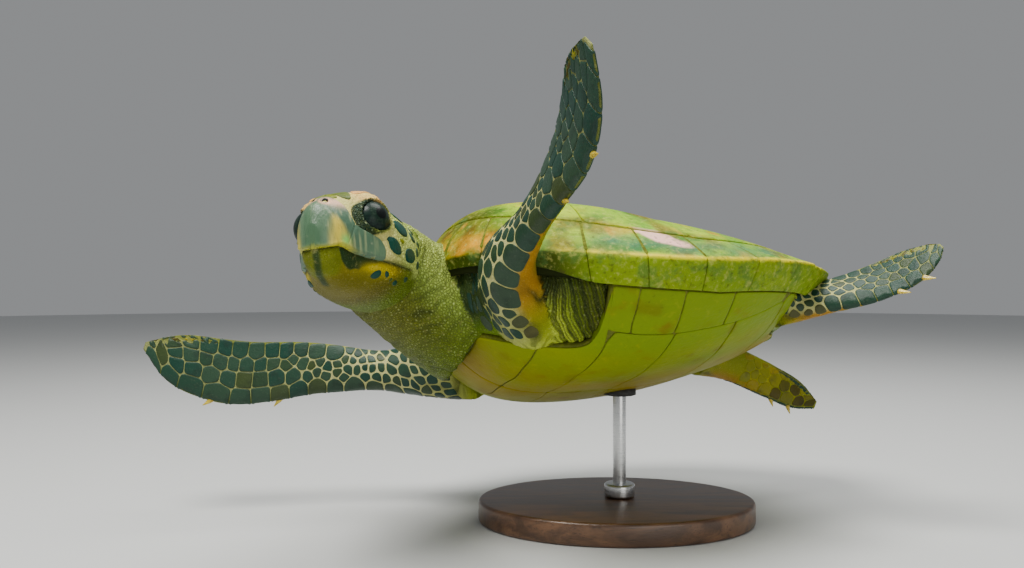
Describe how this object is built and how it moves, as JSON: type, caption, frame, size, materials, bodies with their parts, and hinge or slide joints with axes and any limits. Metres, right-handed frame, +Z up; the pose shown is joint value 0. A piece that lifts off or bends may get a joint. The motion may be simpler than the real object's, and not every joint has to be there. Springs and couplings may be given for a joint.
{
  "type": "hawksbill sea turtle display model",
  "caption": "Life-size still model of a young hawksbill sea turtle swimming, banked, with a front flipper raised, on a flat oval base with a short rod.",
  "frame": {"origin": "middle of the stand base's underside", "axes": "+Z up; the turtle swims towards -X and a little towards -Y, its left side raised towards -Y"},
  "size_m": [0.6914, 0.4695, 0.353],
  "materials": {
    "skin": "matte, wrinkled pale green-yellow hide",
    "scaled_skin": "satin, dark green-grey scales with cream seams",
    "shell_back": "satin horn plates, mottled green, tan and brown",
    "shell_belly": "satin horn plates, olive yellow with thin dark seams",
    "beak": "satin grey-green horn with a tan patch",
    "eye": "wet gloss, near black",
    "claw": "pale horn",
    "stand_wood": "oiled dark wood with a soft sheen",
    "stand_steel": "brushed",
    "stand_rubber": "matte black"
  },
  "bodies": {
    "root": {"arm_left": "scaled_skin", "arm_right": "scaled_skin", "beak": "beak", "carapace": "shell_back", "claw_front_left_1": "claw", "claw_front_left_2": "claw", "claw_front_right_1": "claw", "claw_front_right_2": "claw", "claw_hind_left_1": "claw", "claw_hind_left_2": "claw", "claw_hind_right_1": "claw", "claw_hind_right_2": "claw", "eye_left": "eye", "eye_right": "eye", "front_flipper_left": "scaled_skin", "front_flipper_right": "scaled_skin", "head": "scaled_skin", "hind_flipper_left": "scaled_skin", "hind_flipper_right": "scaled_skin", "leg_left": "scaled_skin", "leg_right": "scaled_skin", "lower_jaw": "skin", "neck": "skin", "plastron": "shell_belly", "stand_base": "stand_wood", "stand_collar": "stand_steel", "stand_pad": "stand_rubber", "stand_rod": "stand_steel", "tail": "scaled_skin", "trunk": "skin"}
  },
  "joints": []
}
